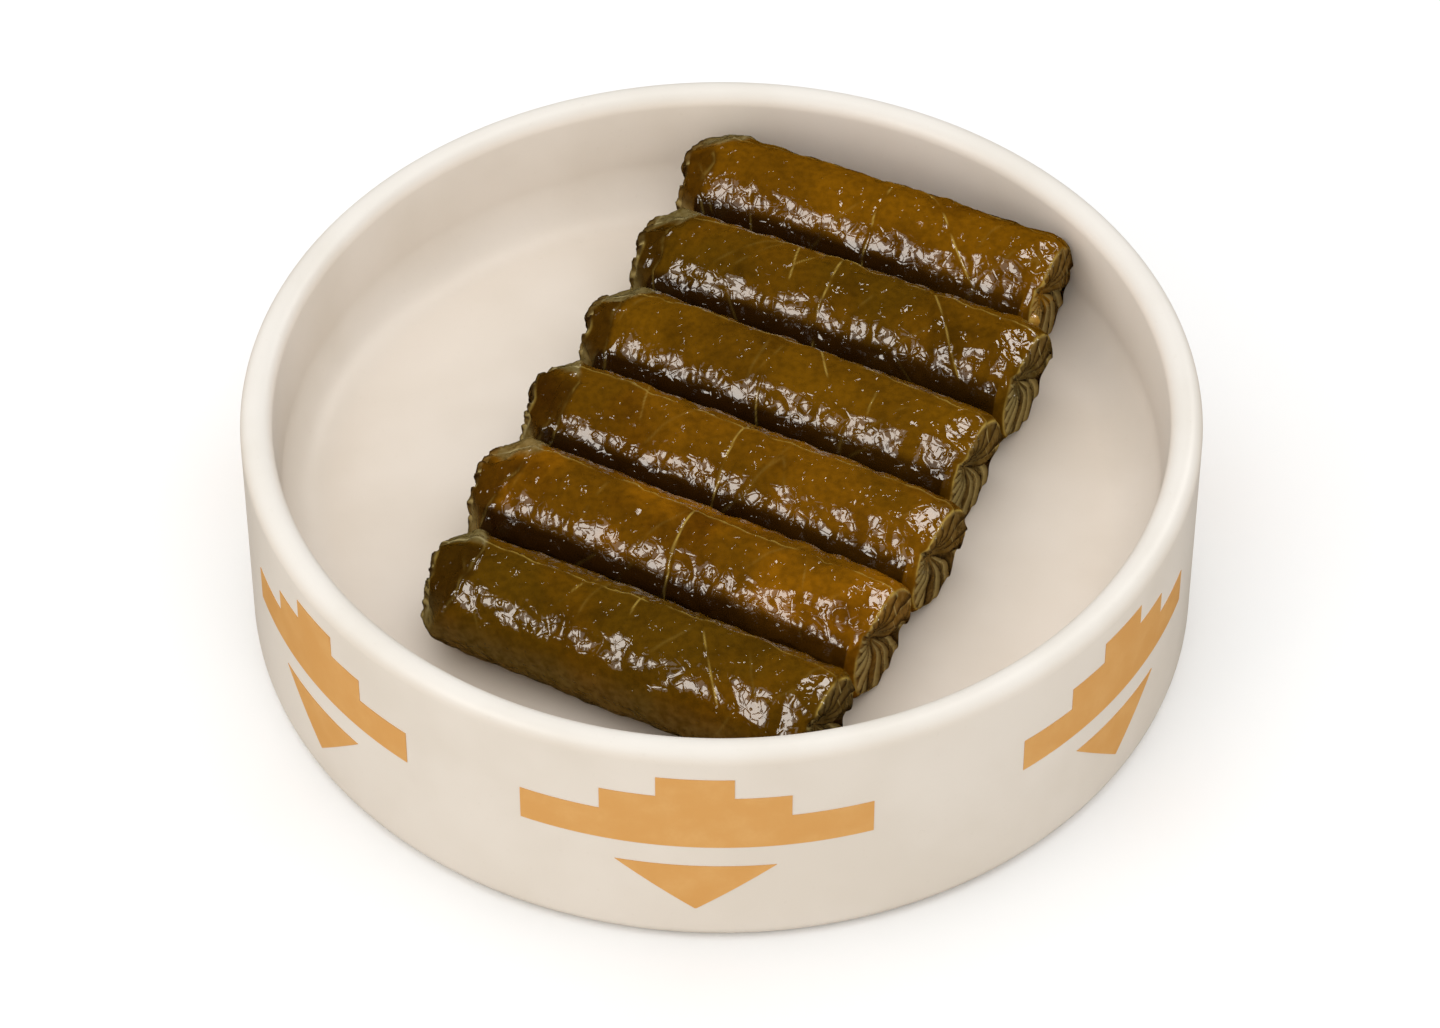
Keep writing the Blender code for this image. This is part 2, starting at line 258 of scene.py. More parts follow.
def stepped_plate(motif):
    """The stepped form: the cells of an azimuth by height grid that lie under its outline.

    The grid's lines include every corner of the outline. A cell stays if its middle is nearer
    the motif's axis than the half width of the step at its height.
    """
    widths = (motif.bar, motif.step, motif.crown)
    corners = np.array([-motif.bar, -motif.step, -motif.crown, motif.crown, motif.step, motif.bar])
    runs = [np.linspace(a, b, 9)[:-1] for a, b in zip(corners, corners[1:])]
    across = np.append(np.concatenate(runs), corners[-1])
    up = np.array(BAR_HEIGHTS)
    azimuth, height = np.meshgrid(across, up)
    points = on_wall(motif.middle + azimuth, height).reshape(-1, 3)
    middle = np.abs(across[1:] + across[:-1]) / 2
    keep = np.array([middle < width for width in widths])
    row, column = np.nonzero(keep)
    start = row * len(across) + column
    faces = np.stack([start, start + 1, start + 1 + len(across), start + len(across)], axis=1)
    used, faces = np.unique(faces, return_inverse=True)
    return points[used], faces.reshape(-1, 4)


def triangle_plate(motif):
    """The inverted triangle: azimuth = s * half width * (1 - t), height from top to tip by t."""
    sideways = np.linspace(1.0, -1.0, TRIANGLE_COLUMNS)
    s, t = np.meshgrid(sideways, np.linspace(0.0, 1.0 - TIP_WIDTH, TRIANGLE_ROWS))
    azimuth = motif.middle + s * motif.triangle * (1.0 - t)
    height = TRIANGLE_TOP + (TRIANGLE_TIP - TRIANGLE_TOP) * t
    row = np.arange(TRIANGLE_ROWS - 1)[:, None] * TRIANGLE_COLUMNS
    start = (row + np.arange(TRIANGLE_COLUMNS - 1)).ravel()
    below = start + TRIANGLE_COLUMNS
    faces = np.stack([start, start + 1, below + 1, below], axis=1)
    return on_wall(azimuth, height).reshape(-1, 3), faces


def ochre_material():
    """Ochre slip: slightly mottled and a little paler where the brush left it thin."""
    made, tree, shader, place = new_material("ochre_slip")
    wear = spread(tree, noise(tree, place, 6 * MM, 4.0), 0.35, 0.75)
    fine = spread(tree, noise(tree, place, 0.7 * MM, 2.0), 0.3, 0.8, 0.0, 0.4)
    body = mixed(tree, wear, OCHRE, OCHRE_WORN)
    body = mixed(tree, fine, body, OCHRE)
    tree.links.new(body, shader.inputs["Base Color"])
    shader.inputs["Roughness"].default_value = 0.45
    shader.inputs["Specular IOR Level"].default_value = 0.3
    tree.links.new(bumped(tree, noise(tree, place, 1.0 * MM), 0.01 * MM), shader.inputs["Normal"])
    return made


plates = [make(motif) for motif in MOTIFS for make in (stepped_plate, triangle_plate)]
starts = np.cumsum([0] + [len(points) for points, faces in plates[:-1]])
ornament_mesh = bpy.data.meshes.new("ochre_ornament")
ornament_mesh.from_pydata(
    np.concatenate([points for points, faces in plates]).tolist(),
    [],
    np.concatenate([faces + start for (points, faces), start in zip(plates, starts)]).tolist(),
)
ornament = bpy.data.objects.new("ochre_ornament", ornament_mesh)
bpy.context.scene.collection.objects.link(ornament)
thicken = ornament.modifiers.new("thickness", "SOLIDIFY")
thicken.thickness = ORNAMENT_DEPTH
thicken.offset = -1.0
ornament_mesh.materials.append(ochre_material())
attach(ornament, "root")


# The rolls are vine leaves wrapped round rice and meat, then cooked and oiled. Each leaf is
# rolled up to its outer edge along the far side, and its ends are folded in, in three flaps.
# The wet leaf clings in small flat facets, over the grain of the filling, with its veins proud.
FLOOR = FLOOR_HEIGHT / MM
GAP = 0.3
BED = 0.4
ROW_START = np.array([-15.6, -47.9, 0.0])
ROW_STEP = np.array([8.52, 19.98, 0.0])
RANDOM_SEED = 11
Roll = namedtuple("Roll", "slide turn length width height seam")
ROLLS = (
    Roll(0.0, 27.5, 75.5, 20.4, 20.6, 68.0),
    Roll(0.0, 28.0, 78.5, 21.6, 21.6, 70.0),
    Roll(1.0, 27.9, 80.0, 20.8, 21.0, 66.0),
    Roll(0.6, 27.3, 76.5, 20.8, 21.0, 64.0),
    Roll(1.4, 25.6, 76.5, 21.2, 21.8, 66.0),
    Roll(-0.6, 25.4, 72.5, 21.6, 22.2, 62.0),
)
End = namedtuple("End", "edge dome taper taper_length knot creases crease_width depth notch")
LEFT_END = End(4.6, 1.6, 0.07, 17.0, (0.0, 0.0), (-42.0, 118.0, 232.0), 20.0, 1.0, 0.5)
RIGHT_END = End(2.2, 0.6, 0.03, 10.0, (-0.42, 0.48), (-37.0, 130.0, 262.0), 9.0, 1.1, 0.3)
FLAP_STEP = 0.8
KNOT_SIZE = 0.55
PLEATS = 16

# The flats that are pressed into the ends: how far each leans along the axis, its turn and depth,
# and how much turn and depth differ from roll to roll
LEFT_CUTS = (
    (-0.50, 72.0, 2.0),
    (-0.42, 122.0, 1.5),
    (-0.62, 160.0, 1.2),
    (-0.60, 15.0, 1.2),
    (-0.80, 260.0, 0.6),
)
RIGHT_CUTS = ((0.28, 101.0, 0.9), (0.06, 131.0, 0.7), (0.30, 200.0, 0.5))
CUT_TURN = 4.0
CUT_DEPTHS = (0.75, 1.2)

# The leaf's outer edge is a step that fades round the roll, and waves and crinkles along it. The
# roll is lumpy, with five soft sides near its left end.
SEAM_STEP = 0.5
SEAM_SPREAD = 60.0
SEAM_WAVE = 4.0
CRINKLE_SIZE, CRINKLE_TURN = 3.1, 2.2
LUMP = 0.018
LEFT_SIDES = 5
LEFT_FACET = 0.03
GIRTH_POINTS = 256
FACE_RINGS = 42
CORNER_RINGS = 14
BODY_RINGS = 250

# A roll's grid: its points about its own middle, where they lie along its axis, their share of
# the section's radius, their turn round it in degrees, half its length and a phase of its own.
Grid = namedtuple("Grid", "local along share turn half phase")

# The relief of the leaf, in millimetres: how wide the facets are, and each size of wrinkle with
# its stretch and its depth all over, more on the body than on the ends, and more where crumpled.
Wrinkle = namedtuple("Wrinkle", "size stretch all_over on_body crumpled")
WRINKLES = (
    Wrinkle(7.0, (1.2, 0.8, 0.8), 0.0, 0.50, 0.0),
    Wrinkle(3.4, (1.2, 1.0, 1.0), 0.14, 0.0, 0.0),
    Wrinkle(1.8, (1.5, 0.8, 0.8), 0.01, 0.0, 0.09),
    Wrinkle(0.9, (1.0, 1.0, 1.0), 0.003, 0.0, 0.030),
)
FACET_SIZE = 5.6
SHOULDER_FACET_SIZE = 4.0
FACET_SHARPNESS = 60.0

# Where round a roll its marks lie: the first and the last angle, and how softly they fade
CRUMPLED_SIDE = (105.0, 170.0, 35.0)
# The near flank's span takes painted shade, where the roll in front stands close
PAINTED_FLANK_SPAN = (150.0, 225.0, 15.0)
# Low on the front roll, the span of a painted reflection of the bowl's floor
FLOOR_REFLECTION_SPAN = (190.0, 260.0, 40.0)
SHOULDER_SPAN = (60.0, 160.0, 15.0)
SHOULDER_FOLD = (95.0, 155.0, 14.0)
LOW_LEFT = (170.0, 245.0, 35.0)
FAR_LEFT = (22.0, 72.0, 14.0)
# Where a painted reflection runs along the back roll's far edge, and its width
REFLECTION_TURN, REFLECTION_WIDTH = 44.0, 2.2
TEAR_TURN, TEAR_WIDTH = 150.0, 26.0

# Pale lines: those of the leaf's edge, the right rim and the left corner by place and width, then
# the veins and the shoulder with the width and height of their ridges, and last the pleats.
EDGE_AT, EDGE_WIDTH = 0.25, 0.22
RIM_SHARE, RIM_WIDTH = 0.905, 0.016
CORNER_SHARE, CORNER_WIDTH = 0.80, 0.02
VEIN_WIDTH, VEIN_RIDGE, VEIN_HEIGHT = 0.13, 0.30, 0.17
SIDE_VEINS = 9
SIDE_WIDTH, SIDE_RIDGE, SIDE_HEIGHT = 0.25, 0.40, 0.30
SHOULDER_AT, SHOULDER_WAVE, SHOULDER_WIDTH, SHOULDER_HEIGHT = 7.8, 1.6, 0.18, 0.22
PLEAT_SWIRL, PLEAT_BEND = 14.0, 4.0
CREST_AT, CREST_WIDTH = 0.84, 0.11
VALLEY_END = 0.35

# Veins that stand out on each leaf: the place along the roll at the top of it, how far it
# drifts to the right in a quarter turn, the angles it starts and ends at, and its strength.
Vein = namedtuple("Vein", "at drift start end strength")
VEINS = (
    (Vein(14.3, 11.3, 38, 146, 1.0), Vein(0.8, 1.0, 66, 98, 0.7), Vein(-10.2, -5.0, 60, 104, 0.7)),
    (Vein(1.4, 1.4, 38, 160, 1.0), Vein(24.0, 6.0, 90, 150, 0.3)),
    (Vein(0.0, 0.7, 45, 158, 0.9), Vein(-18.0, 5.0, 60, 100, 0.4)),
    (Vein(-1.6, 1.6, 118, 160, 0.6), Vein(8.6, 12.0, 55, 90, 0.8), Vein(18.5, 0.5, 96, 112, 0.6)),
    (
        Vein(-0.1, 1.2, 45, 165, 0.9),
        Vein(-7.6, 4.0, 66, 104, 0.8),
        Vein(-7.0, -11.4, 45, 94, 0.5),
        Vein(20.8, 12.0, 62, 150, 0.7),
    ),
    (Vein(2.9, 0.6, 50, 160, 1.0), Vein(14.8, 15.0, 42, 142, 1.0), Vein(-22.0, 4.0, 120, 165, 0.3)),
)


def smooth_step(value):
    """0 below 0, 1 above 1, and 3 v^2 - 2 v^3 between them."""
    value = np.clip(value, 0.0, 1.0)
    return value * value * (3.0 - 2.0 * value)


def angle_between(angles, middle):
    """Signed turn in degrees from a middle angle, between -180 and 180."""
    return (angles - middle + 180.0) % 360.0 - 180.0


def window(value, low, high, soft):
    """1 between low and high, falling to 0 over the distance soft outside them."""
    return smooth_step((value - low) / soft + 1.0) * smooth_step((high - value) / soft + 1.0)


def bell(value, width):
    """1 at 0 and less on both sides of it: exp(-(value / width)^2)."""
    return np.exp(-((value / width) ** 2))


def lattice(points, cell):
    """The lattice cell of each point, counted from 0, the place within it and the cells' span."""
    spot = points / cell
    corner = np.floor(spot).astype(int)
    first = corner.reshape(-1, 3).min(axis=0) - 1
    span = corner.reshape(-1, 3).max(axis=0) - first + 3
    return corner - first, spot - corner, span


def ripple(points, cell, random):
    """Gradient noise, about -1 to 1: random slopes at the corners of a cubic lattice.

    Each corner adds slope . offset, and the eight corners are blended by 6 t^5 - 15 t^4 + 10 t^3.
    """
    corner, part, span = lattice(points, cell)
    slopes = random.normal(size=(*span, 3))
    slopes /= np.linalg.norm(slopes, axis=-1, keepdims=True)
    fade = part**3 * (part * (part * 6.0 - 15.0) + 10.0)
    total = np.zeros(points.shape[:-1])
    for step in np.ndindex(2, 2, 2):
        place = corner + step
        slope = slopes[place[..., 0], place[..., 1], place[..., 2]]
        weight = np.prod(np.where(np.array(step, bool), fade, 1.0 - fade), axis=-1)
        total += weight * np.sum(slope * (part - step), axis=-1)
    return 1.7 * total


def facets(points, cell, random):
    """Flat facets that meet at ridges, about 0 to 1, on points of a round body.

    Each lattice cell has one seed. The height is the smooth minimum over the seeds nearby of
    (distance / cell)^2 plus the seed's own offset: that lifts what lies away from a seed, so the
    round surface turns flat about it.
    """
    corner, part, span = lattice(points, cell)
    seeds = random.uniform(0.1, 0.9, size=(*span, 3))
    offsets = random.uniform(0.0, 0.35, size=span)
    total = np.zeros(points.shape[:-1])
    for step in np.ndindex(3, 3, 3):
        move = np.array(step) - 1
        place = corner + move
        seed = seeds[place[..., 0], place[..., 1], place[..., 2]]
        gap = np.sum((seed + move - part) ** 2, axis=-1)
        raised = offsets[place[..., 0], place[..., 1], place[..., 2]]
        total += np.exp(-FACET_SHARPNESS * (gap + raised))
    return -np.log(total) / FACET_SHARPNESS


def from_knot(on_face, turn, end):
    """Distance from an end's knot in shares of the face's radius, and direction in degrees."""
    beyond = on_face * np.cos(np.radians(turn)) - end.knot[0]
    above = on_face * np.sin(np.radians(turn)) - end.knot[1]
    return np.hypot(beyond, above), np.degrees(np.arctan2(above, beyond))


def fold_relief(turn, end):
    """Height round an end: the product over its creases of 1 - a bell of the angle to it."""
    relief = np.ones_like(turn)
    for crease in end.creases:
        relief *= 1.0 - bell(angle_between(turn, crease), end.crease_width)
    return relief


def last_flap(turn, end):
    """1 over the flap folded last, 0 beside it, with a steep logistic edge between."""
    first, last = end.creases[:2]
    beyond = np.abs(angle_between(turn, (first + last) / 2)) - (last - first) / 2
    return 1.0 / (1.0 + np.exp(beyond / 4.0))


def shape_end(inward, share, turn, roll, end):
    """How far an end's face is pushed in, and what its folds and taper leave of the radius.

    The face sinks to the full depth at the knot and along each crease, the last flap stands a
    step higher, and each crease ends in a notch in the rim.
    """
    flat = 1.0 - end.edge / (roll.width / 2)
    on_face = np.clip(share / flat, 0.0, 1.0)
    knot_gap, spoke = from_knot(share / flat, turn, end)
    relief = fold_relief(spoke, end)
    risen = smooth_step(knot_gap / KNOT_SIZE)
    near = smooth_step(1.0 - (inward - end.dome) / (1.6 * end.edge))
    sunk = end.depth * (1.0 - relief * risen) * (1.0 - 0.5 * on_face**3)
    push = near * (sunk - FLAP_STEP * last_flap(spoke, end) * risen)
    tapered = 1.0 - end.taper * np.clip(1.0 - inward / end.taper_length, 0.0, 1.0) ** 1.5
    close = smooth_step(1.0 - inward / (3.0 * end.edge))
    notched = tapered - end.notch / (roll.width / 2) * (1.0 - relief) * close
    return push, notched


def cut_flat(points, lean, turn, depth):
    """Flatten what stands beyond a plane, down to depth below the point that reaches farthest.

    The plane's normal is (lean, rest * cos turn, rest * sin turn), with rest = sqrt(1 - lean^2).
    """
    rest = np.sqrt(1.0 - lean**2)
    normal = np.array([lean, rest * np.cos(np.radians(turn)), rest * np.sin(np.radians(turn))])
    reach = points @ normal
    return points - np.maximum(reach - reach.max() + depth, 0.0)[..., None] * normal


def end_rings(roll, end):
    """Rings of an end as (distance from the tip, radius share): a shallow dome, then an arc."""
    flat = 1.0 - end.edge / (roll.width / 2)
    share = np.linspace(0.0, 1.0, FACE_RINGS, endpoint=False)
    angle = np.linspace(0.0, np.pi / 2, CORNER_RINGS)
    face = np.stack([end.dome * share**2, flat * share], axis=1)
    corner = end.dome + end.edge * (1.0 - np.cos(angle)), flat + (1.0 - flat) * np.sin(angle)
    return np.concatenate([face, np.stack(corner, axis=1)])


def frame_of(index):
    """A roll's axis, its level direction to the far side, and its middle, in millimetres."""
    roll = ROLLS[index]
    turn = np.radians(roll.turn)
    axis = np.array([np.cos(turn), -np.sin(turn), 0.0])
    across = np.array([np.sin(turn), np.cos(turn), 0.0])
    middle = ROW_START + ROW_STEP * index + axis * roll.slide
    middle[2] = FLOOR + GAP + roll.height / 2 - BED
    return axis, across, middle


def pressed(points, index):
    """Flatten a roll on the floor, on the mid-plane to each neighbour and on the wall."""
    points[..., 2] = np.maximum(points[..., 2], FLOOR + GAP)
    axis, _, middle = frame_of(index)
    for other in (index - 1, index + 1):
        if not 0 <= other < len(ROLLS):
            continue
        other_axis, _, other_middle = frame_of(other)
        line = (axis + other_axis) / np.linalg.norm(axis + other_axis)
        away = np.array([line[1], -line[0], 0.0])
        away *= np.sign((middle - other_middle) @ away)
        inside = (points - (middle + other_middle) / 2) @ away - GAP / 2
        points -= np.minimum(inside, 0.0)[..., None] * away
    reach = np.hypot(points[..., 0], points[..., 1])
    inner = profile[25:53] / MM
    wall = np.interp(points[..., 2], inner[:, 1], inner[:, 0]) - 2 * GAP
    points[..., :2] *= np.minimum(wall / np.maximum(reach, 1.0), 1.0)[..., None]
    return points


def outward(points):
    """Unit normals of a grid of rings: the cross product of its two directions."""
    along = np.gradient(points, axis=0)
    around = np.roll(points, -1, axis=1) - np.roll(points, 1, axis=1)
    normal = np.cross(along, around)
    return normal / np.maximum(np.linalg.norm(normal, axis=-1, keepdims=True), 1e-9)


def rolled_form(roll, random):
    """One roll about its own middle, as a grid, with each point's angle past the leaf's edge.

    The same round section as the solid is swept along the axis, with the folded ends, and then
    its corners are pressed flat. The last value is the leaf edge's wave along the roll.
    """
    half = roll.length / 2
    left = end_rings(roll, LEFT_END) + (-half, 0.0)
    right = end_rings(roll, RIGHT_END) * (-1.0, 1.0) + (half, 0.0)
    places = np.linspace(left[-1, 0], right[-1, 0], BODY_RINGS + 2)[1:-1]
    body = np.stack([places, np.ones(BODY_RINGS)], axis=1)
    rings = np.concatenate([left, body, right[::-1]])
    angles = np.arange(GIRTH_POINTS) * 360.0 / GIRTH_POINTS
    along = rings[:, :1] + 0.0 * angles
    share = rings[:, 1:] + 0.0 * angles
    turn = angles + 0.0 * along

    left_push, left_scale = shape_end(along + half, share, turn, roll, LEFT_END)
    right_push, right_scale = shape_end(half - along, share, turn, roll, RIGHT_END)
    scale = left_scale * right_scale
    for waves in (2, 3):
        start = random.uniform(0.0, 360.0)
        twist = random.uniform(-140.0, 140.0)
        scale += LUMP / waves * np.cos(np.radians(waves * turn + start + twist * along / half))
    near_left = np.clip(1.0 - (along + half) / LEFT_END.taper_length, 0.0, 1.0)
    phase = random.uniform(0.0, 360.0)
    scale += LEFT_FACET * near_left * np.cos(np.radians(LEFT_SIDES * turn + phase))

    wave = SEAM_WAVE * np.sin(3.0 * along / half + phase)
    on_axis = np.stack([along, 0.0 * along, 0.0 * along], axis=-1)
    crinkle = CRINKLE_TURN * ripple(on_axis, CRINKLE_SIZE, random)
    past_seam = angle_between(turn, roll.seam + wave + crinkle)
    on_top = np.exp(-np.clip(past_seam, 0.0, None) / SEAM_SPREAD) * smooth_step(past_seam / 1.2)
    raised = SEAM_STEP * on_top
    level = np.radians(turn)
    radius_y = share * (roll.width / 2 * scale + raised)
    radius_z = share * (roll.height / 2 * scale + raised)
    along_pushed = along + left_push - right_push
    local = np.stack([along_pushed, radius_y * np.cos(level), radius_z * np.sin(level)], axis=-1)
    for lean, spot, depth in LEFT_CUTS + RIGHT_CUTS:
        spot += random.uniform(-CUT_TURN, CUT_TURN)
        local = cut_flat(local, lean, spot, depth * random.uniform(*CUT_DEPTHS))
    return Grid(local, along, share, turn, half, phase), past_seam, wave


def crumple(grid, random):
    """The leaf's relief over the filling: flat facets, less a fold for each size of wrinkle."""
    body_share = smooth_step((grid.share - 0.75) / 0.25)
    calm_right = 0.35 * grid.along / grid.half
    crumpled = smooth_step(0.45 + 1.5 * ripple(grid.local, 10.0, random) - calm_right)
    crumpled *= 0.25 + 0.75 * window(grid.turn, *CRUMPLED_SIDE)
    flats = facets(grid.local * (0.9, 1.0, 1.0), FACET_SIZE, random)
    height = (0.10 + 0.50 * body_share) * (flats - 0.3)
    for wrinkle in WRINKLES:
        depth = wrinkle.all_over + wrinkle.on_body * body_share + wrinkle.crumpled * crumpled
        height -= depth * np.abs(ripple(grid.local * wrinkle.stretch, wrinkle.size, random))
    return height


def vein_marks(grid, index, height, random):
    """The pale lines of a leaf's veins, and the fading along them. Height gains their ridges.

    A vein runs at its place + drift * (turn - 90) / 90, with a soft bend. Its line and its ridge
    are bells of the distance to it. After the main veins come faint ones, mostly on the near side.
    """
    local, along, turn = grid.local, grid.along, grid.turn
    lines = 0.0 * along
    faded = smooth_step(0.62 + 1.1 * ripple(local, 3.5, random))
    for vein in VEINS[index]:
        bend = 0.5 * ripple(local * (0.0, 1.0, 1.0), 6.0, random)
        course = vein.at + vein.drift * (turn - 90.0) / 90.0 + bend
        lean = np.hypot(1.0, vein.drift / (0.5 * np.pi * ROLLS[index].width / 2))
        apart = (along - course) / lean
        shown = window(turn, vein.start, vein.end, 8.0) * vein.strength
        lines = np.maximum(lines, 0.9 * shown * faded * bell(apart, VEIN_WIDTH))
        height += VEIN_HEIGHT * shown * bell(apart, VEIN_RIDGE)
    for _ in range(SIDE_VEINS):
        at, drift = random.uniform(-grid.half, grid.half), random.uniform(-16.0, 16.0)
        first = random.uniform(60.0, 190.0)
        course = at + drift * (turn - 130.0) / 90.0 + 0.8 * ripple(local, 7.0, random)
        shown = window(turn, first, first + 40.0, 15.0) * 0.10
        lines = np.maximum(lines, shown * faded * bell(along - course, SIDE_WIDTH))
        height += SIDE_HEIGHT * shown * bell(along - course, SIDE_RIDGE)
    return lines, faded


def pleated(grid, roll, end, random):
    """The pleats that fan out from an end's knot: where, relief, pale crests and painted shade, a
    little over the face and more in the valleys and sunken creases.

    A pleat's place is the fraction of PLEATS * (direction + a swirl that grows with distance)
    / 360. Its relief climbs as a saw tooth, with a crest near the top and a valley at the foot.
    """
    flat = 1.0 - end.edge / (roll.width / 2)
    on_face = smooth_step((flat + 0.55 * (1.0 - flat) - grid.share) / 0.03)
    knot_gap, spoke = from_knot(grid.share / flat, grid.turn, end)
    bent = spoke + knot_gap * (PLEAT_SWIRL + 5.0 * np.sin(np.radians(2.0 * spoke + grid.phase)))
    bent = bent + PLEAT_BEND * ripple(grid.local, 5.0, random)
    pleat = (PLEATS * bent / 360.0 + grid.phase) % 1.0
    fan = on_face * smooth_step((knot_gap - 0.06) / 0.3) * (0.7 + 0.3 * last_flap(spoke, end))
    relief = fan * (pleat * smooth_step((1.0 - pleat) / 0.15) - 0.4)
    crest = 0.9 * fan * bell(pleat - CREST_AT, CREST_WIDTH)
    valley = smooth_step((VALLEY_END - pleat) / 0.30) * smooth_step(knot_gap / 0.3)
    sunken = 1.0 - fold_relief(spoke, end)
    # Painted shade: a little over the whole face, more in the sunken creases and the valleys
    painted_shade = np.minimum(on_face * (0.12 + 0.60 * sunken**2 + 0.72 * valley), 0.95)
    return on_face, relief, crest, painted_shade


def leaf_roll(index):
    """One roll's points in the world, and its marks: veins and edges, underside, tear and painted
    shade; a painted reflection joins the edges on the back roll and the underside on the front one.

    The leaf's relief, its veins and the pleats and folds of its ends are added to the rolled
    form along the normals, and the roll is pressed in place.
    """
    roll = ROLLS[index]
    random = np.random.default_rng(RANDOM_SEED + index)
    grid, past_seam, wave = rolled_form(roll, random)
    local, along, share, turn, half, phase = grid
    height = crumple(grid, random)
    lines, faded = vein_marks(grid, index, height, random)
    edge_gap = past_seam * np.pi / 180.0 * roll.width / 2
    broken = smooth_step(0.75 + 1.4 * ripple(local, 4.0, random))
    lines = np.maximum(lines, 0.75 * broken * bell(edge_gap - EDGE_AT, EDGE_WIDTH))

    # Both ends have pleats, and the right one a pale rim; painted shade lies a little over their
    # faces and more in their valleys and sunken creases. Behind the front roll each near flank gets
    # painted shade, where the roll before it stands close.
    on_face = np.zeros_like(along)
    painted_shade = np.zeros_like(along)
    for end, side in ((RIGHT_END, along > 0.0), (LEFT_END, along < 0.0)):
        face, relief, crest, shade = pleated(grid, roll, end, random)
        on_face += side * face
        height += side * relief
        lines = np.maximum(lines, side * crest)
        painted_shade += side * shade
    rim = bell(share - RIM_SHARE, RIM_WIDTH) * (along > 0.0)
    lines = np.maximum(lines, 0.8 * broken * rim)
    # Painted shade on each near flank behind the front roll, a little lighter towards the right end
    painted_flank_shade = window(turn, *PAINTED_FLANK_SPAN) * (share >= 1.0) * (index > 0)
    painted_shade = np.maximum(painted_shade, painted_flank_shade * (0.96 - 0.22 * smooth_step(along / half)))

    # The left end folds in behind a shoulder line, with facets, painted shade in a fold and a pale
    # corner
    shoulder_at = SHOULDER_AT - SHOULDER_WAVE * np.sin(np.radians(2.0 * turn + phase))
    shoulder_at += 1.2 * ripple(local, 4.0, random)
    on_left = smooth_step(1.0 - (along + half - shoulder_at) / 1.2)
    shoulder = bell(along + half - shoulder_at, SHOULDER_WIDTH)
    shoulder *= window(turn, *SHOULDER_SPAN) * (share > 0.9)
    lines = np.maximum(lines, 0.22 * faded * shoulder)
    flats = facets(local, SHOULDER_FACET_SIZE, random)
    height += SHOULDER_HEIGHT * shoulder + on_left * (0.9 * flats - 0.60)
    bent_turn = turn + 12.0 * ripple(local, 4.0, random)
    off_face = on_left * (1.0 - on_face)
    folded = off_face * window(bent_turn, *SHOULDER_FOLD)
    height -= 0.16 * folded * np.abs(ripple(local, 1.3, random))
    # Painted shade in the fold on the left end
    painted_shade = np.maximum(painted_shade, 0.60 * folded)
    corner = bell(share - CORNER_SHARE, CORNER_WIDTH) * (along < 0.0)
    lines = np.maximum(lines, 0.5 * faded * broken * corner)

    # The leaf's pale underside shows low on the left end, on its far side and on the faces. A little
    # of the same pale tone low on the front roll is a painted reflection of the bowl's floor. The
    # back roll has a painted reflection along its far edge, and a tear.
    low_left = smooth_step(1.0 - (along + half - 2.0) / 6.0) * window(bent_turn, *LOW_LEFT)
    far_left = off_face * window(bent_turn, *FAR_LEFT)
    under = np.maximum(0.6 * np.maximum(low_left * (1.0 - on_face), far_left), 0.32 * on_face)
    # A little of the pale tone low on the front roll: a painted reflection of the bowl's floor
    under = np.maximum(under, 0.22 * window(turn, *FLOOR_REFLECTION_SPAN) * (index == 0))
    at_back = index == len(ROLLS) - 1
    # A pale painted reflection along the back roll's far edge
    painted_edge_reflection = bell(turn - REFLECTION_TURN - wave, REFLECTION_WIDTH) * at_back
    lines = np.maximum(lines, 0.7 * broken * painted_edge_reflection)
    tear = bell(turn - TEAR_TURN, TEAR_WIDTH) * on_face * (along > 0.0) * at_back

    calm_end = smooth_step(share / 0.06)
    local = local + (height * calm_end)[..., None] * outward(local)
    local[0] = local[0].mean(axis=0)
    local[-1] = local[-1].mean(axis=0)
    axis, across, middle = frame_of(index)
    world = middle + local[..., :1] * axis + local[..., 1:2] * across
    world[..., 2] += local[..., 2]
    return pressed(world, index) * MM, np.stack([lines, under, tear, 1.0 - painted_shade], axis=-1)


# Looks that the six leaves share: the tones of the underside, of a tear, of the painted shade on
# flanks, creases and folds and of the veins over the upper side and the underside, and the sizes
# of patches and of fine relief
UNDERSIDE = ((0.13, 0.095, 0.025), (0.26, 0.215, 0.090))
TORN = (0.36, 0.155, 0.006)
PAINTED_SHADE_TONE = (0.018, 0.006, 0.001)
VEIN_TONES = ((0.50, 0.34, 0.070), (0.62, 0.56, 0.34))
GOLDER_FROM, GOLDER_TO, GOLDER_BY = -45 * MM, 50 * MM, 0.07
PATCH_SIZE = 20 * MM
STAIN_SIZE = 11 * MM
FLECK_SIZE = 1.3 * MM
FLECK_DEPTH = 0.30
SKIN_SIZE, SKIN_DEPTH = 1.1 * MM, 0.020 * MM
WEB_SIZE, WEB_DEPTH = 2.0 * MM, 0.018 * MM
GRIT_SIZE, GRIT_DEPTH = 1.5 * MM, 0.10 * MM
LEAF_ROUGHNESS = 0.35
OIL_ROUGHNESS = 0.035
OIL_IOR = 1.5


